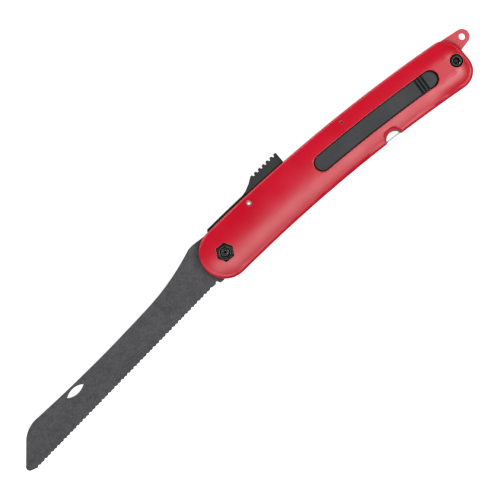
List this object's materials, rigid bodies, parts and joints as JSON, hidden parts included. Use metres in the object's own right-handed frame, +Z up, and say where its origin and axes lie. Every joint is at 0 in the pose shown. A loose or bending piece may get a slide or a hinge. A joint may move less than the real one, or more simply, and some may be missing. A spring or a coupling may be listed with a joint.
{
  "type": "drywall saw",
  "caption": "Folding drywall jab saw with a red crowned two-scale handle, black toothed blade, spine lock lever, rocking belt clip and lanyard tab.",
  "frame": {"origin": "on the blade pivot's axis, on the plane that the rear scale rests on", "axes": "+X along the handle from the pivot to the tail screw, +Y to the spine side with the lock lever, +Z up through the front scale with the belt clip; the blade is open and points to -X"},
  "size_m": [0.3519, 0.0519, 0.0182],
  "materials": {
    "red_paint": "semi-matte red paint on a die-cast scale",
    "liner_steel": "plain rolled steel",
    "bright_steel": "ground steel",
    "black_oxide": "black oxide",
    "bronze": "sintered bronze, dull",
    "spring_steel": "blued spring steel",
    "blade_coating": "fine-textured black coating",
    "black_lever": "satin black, cast",
    "clip_black": "matte black powder coat"
  },
  "bodies": {
    "handle": {"front_scale": "red_paint", "rear_scale": "red_paint", "front_liner": "liner_steel", "rear_liner": "liner_steel", "front_liner_screws": "bright_steel", "rear_liner_screws": "bright_steel", "spine_spacer": "red_paint", "spacer_dowel": "bright_steel", "pivot_bolt": "black_oxide", "pivot_nut": "black_oxide", "pivot_bushing": "bronze", "front_pivot_washer": "bronze", "rear_pivot_washer": "bronze", "tail_screw": "black_oxide", "tail_nut": "black_oxide", "lever_pin": "bright_steel", "spring_pin": "black_oxide", "clip_pin": "bright_steel", "clip_spring": "spring_steel"},
    "blade": {"blade": "blade_coating"},
    "lock_lever": {"lock_lever": "black_lever"},
    "leaf_spring": {"leaf_spring": "spring_steel"},
    "belt_clip": {"belt_clip": "clip_black"}
  },
  "joints": [
    {"name": "blade_fold", "type": "hinge", "parent": "handle", "child": "blade", "pos_m": [0, 0, 0.009], "axis": [0, 0, 1], "range_deg": [0, 173]},
    {"name": "lever_press", "type": "hinge", "parent": "handle", "child": "lock_lever", "pos_m": [0.0281, 0.0128, 0.009], "axis": [0, 0, 1], "range_deg": [-3, 4], "stiffness_Nm_per_rad": 0.6},
    {"name": "leaf_spring_flex", "type": "hinge", "parent": "handle", "child": "leaf_spring", "pos_m": [0.0976, 0.0146, 0.009], "axis": [0, 0, 1], "range_deg": [-3.1, 2.3]},
    {"name": "clip_rock", "type": "hinge", "parent": "handle", "child": "belt_clip", "pos_m": [0.138, 0.00239, 0.0146], "axis": [0.0571, 0.9984, 0], "range_deg": [0, 6], "stiffness_Nm_per_rad": 0.3, "deforming": ["clip_spring"]}
  ],
  "couplings": [
    {"joint": "leaf_spring_flex", "follows": "lever_press", "ratio": -0.75}
  ]
}
